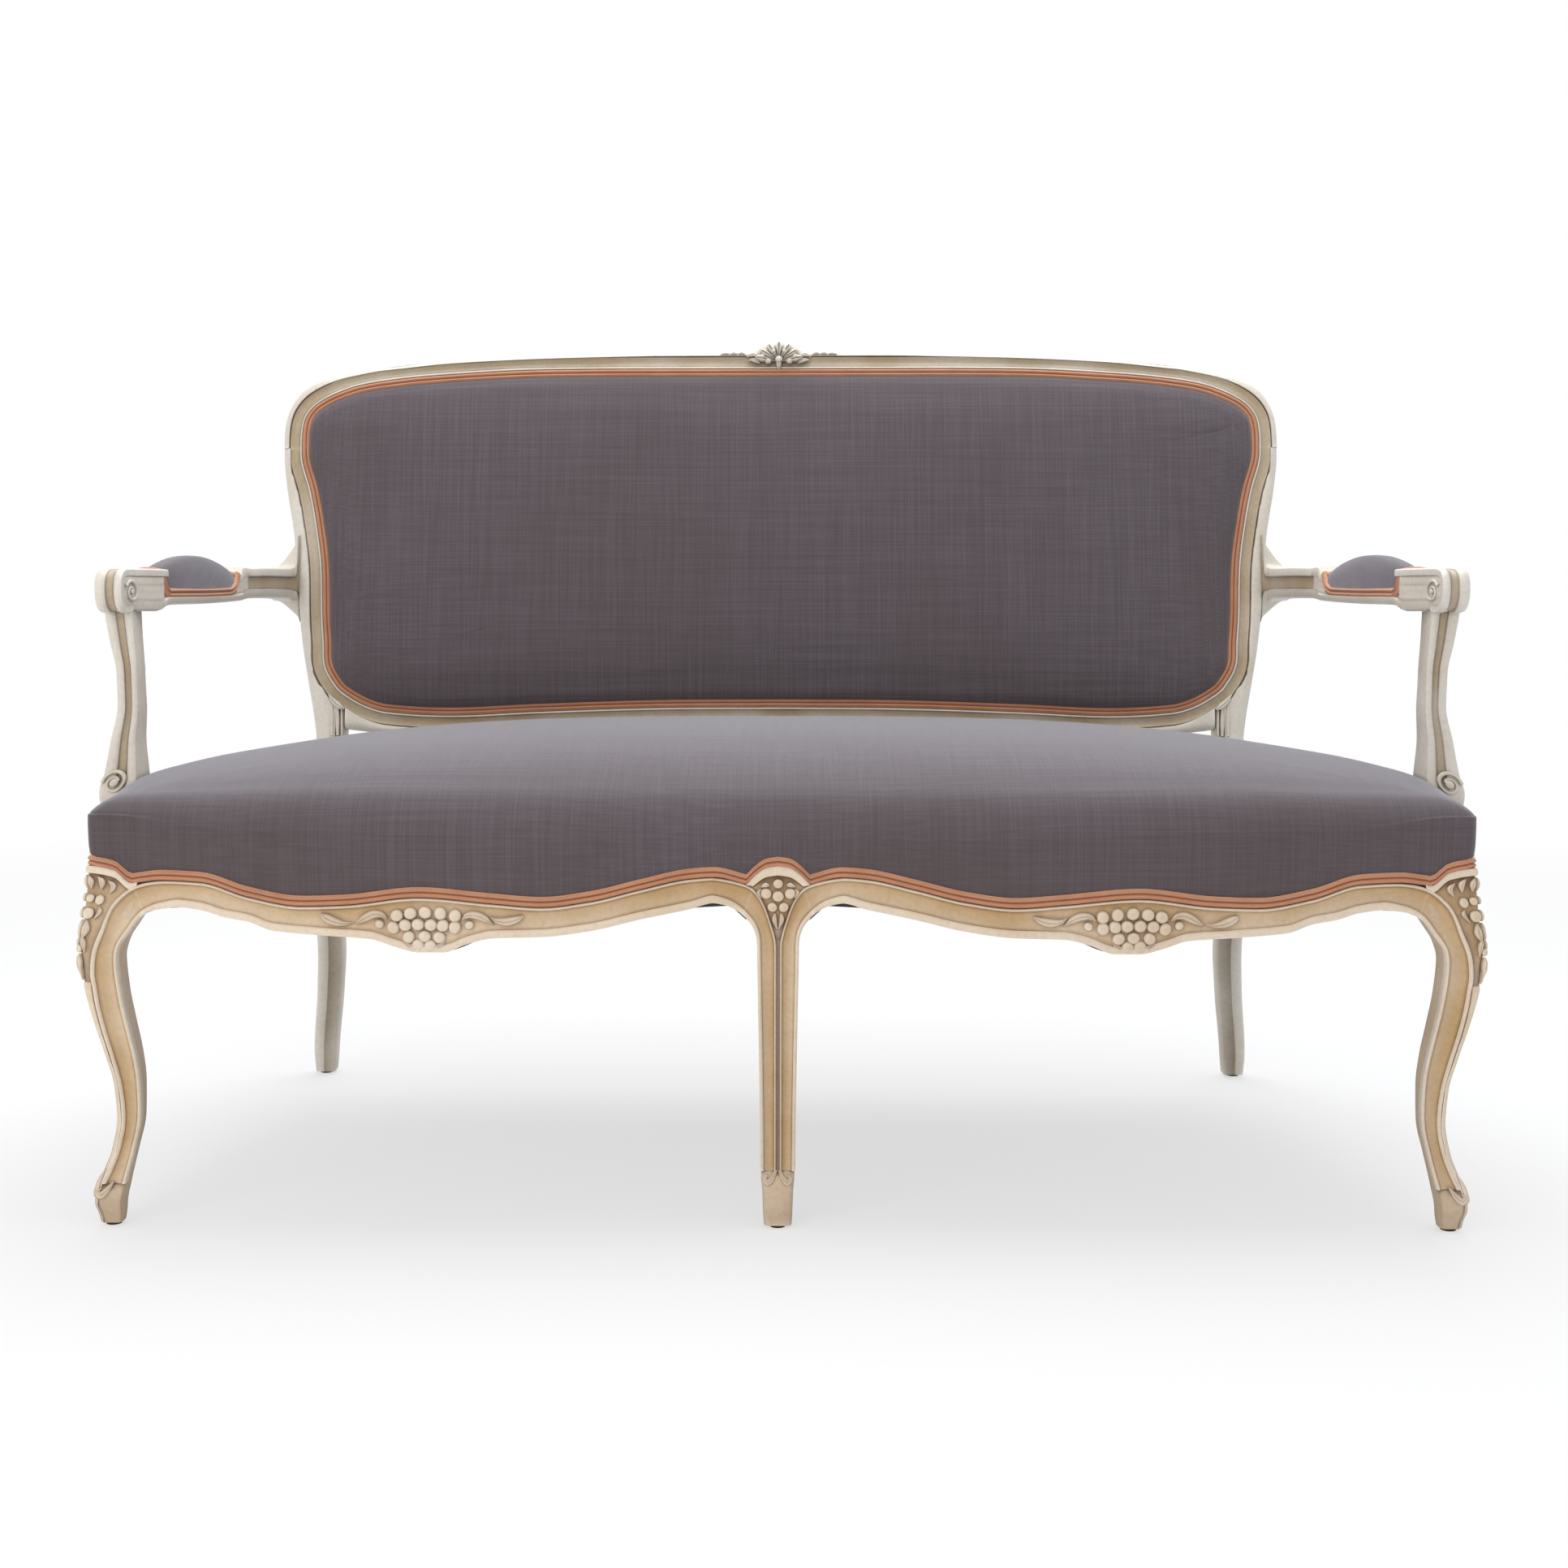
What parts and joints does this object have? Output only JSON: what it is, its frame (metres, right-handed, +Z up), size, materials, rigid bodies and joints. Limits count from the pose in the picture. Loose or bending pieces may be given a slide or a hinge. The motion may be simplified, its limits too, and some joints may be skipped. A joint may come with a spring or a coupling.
{
  "type": "cabriole sofa",
  "caption": "Open-arm two-seat sofa on cabriole legs: shaped painted frame, sprung seat, framed padded back, padded arms.",
  "frame": {"origin": "on the floor, under the middle of the sofa's outline", "axes": "+X to the viewer's right along the length, +Y to the back, +Z up; the sofa faces -Y"},
  "size_m": [1.381, 0.7504, 0.9395],
  "materials": {
    "painted_beech": "antiqued cream paint, rubbed back, ochre glaze in the grooves",
    "bare_beech": "bare planed beech",
    "linen": "plain woven linen, matt",
    "gimp": "double corded gimp, copper",
    "jute": "woven jute",
    "stuffing": "curled hair under wadding",
    "black_cloth": "thin black cotton",
    "steel": "plain steel wire and screws",
    "felt": "dark brown felt"
  },
  "bodies": {
    "root": {"front_rail_left": "painted_beech", "front_rail_right": "painted_beech", "side_rail_left": "painted_beech", "side_rail_right": "painted_beech", "rear_rail": "bare_beech", "front_leg_left": "painted_beech", "front_leg_right": "painted_beech", "front_leg_centre": "painted_beech", "centre_rail": "bare_beech", "rear_post_left": "painted_beech", "rear_post_right": "painted_beech", "crest_rail": "painted_beech", "back_bottom_rail": "painted_beech", "arm_left": "painted_beech", "arm_right": "painted_beech", "arm_support_left": "painted_beech", "support_screw_left": "steel", "arm_support_right": "painted_beech", "support_screw_right": "steel", "corner_block_front_left": "bare_beech", "corner_block_rear_left": "bare_beech", "corner_block_front_right": "bare_beech", "corner_block_rear_right": "bare_beech", "glide_front_left": "felt", "glide_front_centre": "felt", "glide_front_right": "felt", "glide_rear_left": "felt", "glide_rear_right": "felt", "seat_webbing": "jute", "seat_spring_1": "steel", "seat_spring_2": "steel", "seat_spring_3": "steel", "seat_spring_4": "steel", "seat_spring_5": "steel", "seat_spring_6": "steel", "seat_spring_7": "steel", "seat_spring_8": "steel", "seat_hessian": "jute", "seat_stuffing": "stuffing", "seat_cover": "linen", "seat_gimp_front": "gimp", "seat_gimp_left": "gimp", "seat_gimp_right": "gimp", "seat_gimp_rear": "gimp", "dust_cover": "black_cloth", "back_hessian": "jute", "back_stuffing": "stuffing", "back_cover": "linen", "back_gimp_front": "gimp", "outside_back_cover": "linen", "back_gimp_rear": "gimp", "arm_pad_stuffing_left": "stuffing", "arm_pad_cover_left": "linen", "arm_gimp_left": "gimp", "arm_pad_stuffing_right": "stuffing", "arm_pad_cover_right": "linen", "arm_gimp_right": "gimp"}
  },
  "joints": []
}
